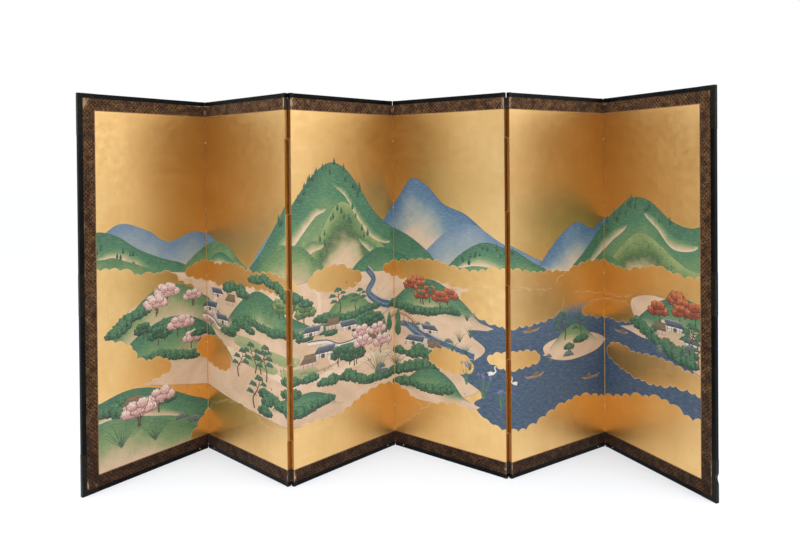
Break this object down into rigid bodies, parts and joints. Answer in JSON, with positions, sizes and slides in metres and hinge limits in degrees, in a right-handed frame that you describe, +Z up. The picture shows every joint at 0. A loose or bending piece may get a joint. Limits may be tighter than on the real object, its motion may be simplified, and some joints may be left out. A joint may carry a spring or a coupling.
{
  "type": "byobu folding screen",
  "caption": "Folding screen of tall paper-covered lattice panels in a black lacquered frame, joined by paper hinges, standing in a zigzag; every fold opens flat or folds shut.",
  "frame": {"origin": "on the floor, under the middle of the screen's box as it stands in its zigzag", "axes": "+X to the viewer's right along the row of panels, +Y away from the viewer, towards the backs of the panels, +Z up"},
  "size_m": [2.6748, 0.6384, 1.7207],
  "materials": {
    "black_lacquer": "polished black lacquer over wood, dulled and rubbed along its edges",
    "gold_leaf_paper": "squares of gold leaf on paper, painted over in mineral colours",
    "back_paper": "matt printed paper in a small repeat",
    "brocade": "dark brown silk brocade with a small tan figure, worn pale at its ends",
    "cedar": "planed and unfinished",
    "blackened_metal": "thin sheet, blackened, with a soft sheen",
    "brass": "hand-cut nails and pins, dulled",
    "hinge_paper": "tough layered paper, gilded and creased at the fold"
  },
  "bodies": {
    "panel_1": {"panel_1_core": "cedar", "panel_1_picture": "gold_leaf_paper", "panel_1_back_paper": "back_paper", "panel_1_brocade": "brocade", "panel_1_top_rail": "black_lacquer", "panel_1_bottom_rail": "black_lacquer", "panel_1_fittings": "blackened_metal", "panel_1_nails": "brass", "left_stile": "black_lacquer", "fold_1_2_left_wings": "hinge_paper"},
    "panel_2": {"panel_2_core": "cedar", "panel_2_picture": "gold_leaf_paper", "panel_2_back_paper": "back_paper", "panel_2_brocade": "brocade", "panel_2_top_rail": "black_lacquer", "panel_2_bottom_rail": "black_lacquer", "panel_2_fittings": "blackened_metal", "panel_2_nails": "brass", "fold_1_2_right_wings": "hinge_paper", "fold_2_3_left_wings": "hinge_paper"},
    "panel_3": {"panel_3_core": "cedar", "panel_3_picture": "gold_leaf_paper", "panel_3_back_paper": "back_paper", "panel_3_brocade": "brocade", "panel_3_top_rail": "black_lacquer", "panel_3_bottom_rail": "black_lacquer", "panel_3_fittings": "blackened_metal", "panel_3_nails": "brass", "fold_2_3_right_wings": "hinge_paper", "fold_3_4_left_wings": "hinge_paper"},
    "panel_4": {"panel_4_core": "cedar", "panel_4_picture": "gold_leaf_paper", "panel_4_back_paper": "back_paper", "panel_4_brocade": "brocade", "panel_4_top_rail": "black_lacquer", "panel_4_bottom_rail": "black_lacquer", "panel_4_fittings": "blackened_metal", "panel_4_nails": "brass", "fold_3_4_right_wings": "hinge_paper", "fold_4_5_left_wings": "hinge_paper"},
    "panel_5": {"panel_5_core": "cedar", "panel_5_picture": "gold_leaf_paper", "panel_5_back_paper": "back_paper", "panel_5_brocade": "brocade", "panel_5_top_rail": "black_lacquer", "panel_5_bottom_rail": "black_lacquer", "panel_5_fittings": "blackened_metal", "panel_5_nails": "brass", "fold_4_5_right_wings": "hinge_paper", "fold_5_6_left_wings": "hinge_paper"},
    "panel_6": {"panel_6_core": "cedar", "panel_6_picture": "gold_leaf_paper", "panel_6_back_paper": "back_paper", "panel_6_brocade": "brocade", "panel_6_top_rail": "black_lacquer", "panel_6_bottom_rail": "black_lacquer", "panel_6_fittings": "blackened_metal", "panel_6_nails": "brass", "right_stile": "black_lacquer", "fold_5_6_right_wings": "hinge_paper"}
  },
  "joints": [
    {"name": "fold_1_2", "type": "hinge", "parent": "panel_2", "child": "panel_1", "pos_m": [-0.92427, 0.28845, 0.86], "axis": [0, 0, -1], "range_deg": [-85.1, 94.9]},
    {"name": "fold_2_3", "type": "hinge", "parent": "panel_3", "child": "panel_2", "pos_m": [-0.45225, -0.12327, 0.86], "axis": [0, 0, 1], "range_deg": [-92.1, 87.9]},
    {"name": "fold_3_4", "type": "hinge", "parent": "panel_3", "child": "panel_4", "pos_m": [0.00585, 0.30387, 0.86], "axis": [0, 0, 1], "range_deg": [-97.1, 82.9]},
    {"name": "fold_4_5", "type": "hinge", "parent": "panel_4", "child": "panel_5", "pos_m": [0.51195, -0.06514, 0.86], "axis": [0, 0, -1], "range_deg": [-108.4, 71.6]},
    {"name": "fold_5_6", "type": "hinge", "parent": "panel_5", "child": "panel_6", "pos_m": [1.04487, 0.26396, 0.86], "axis": [0, 0, 1], "range_deg": [-81.6, 98.4]}
  ]
}
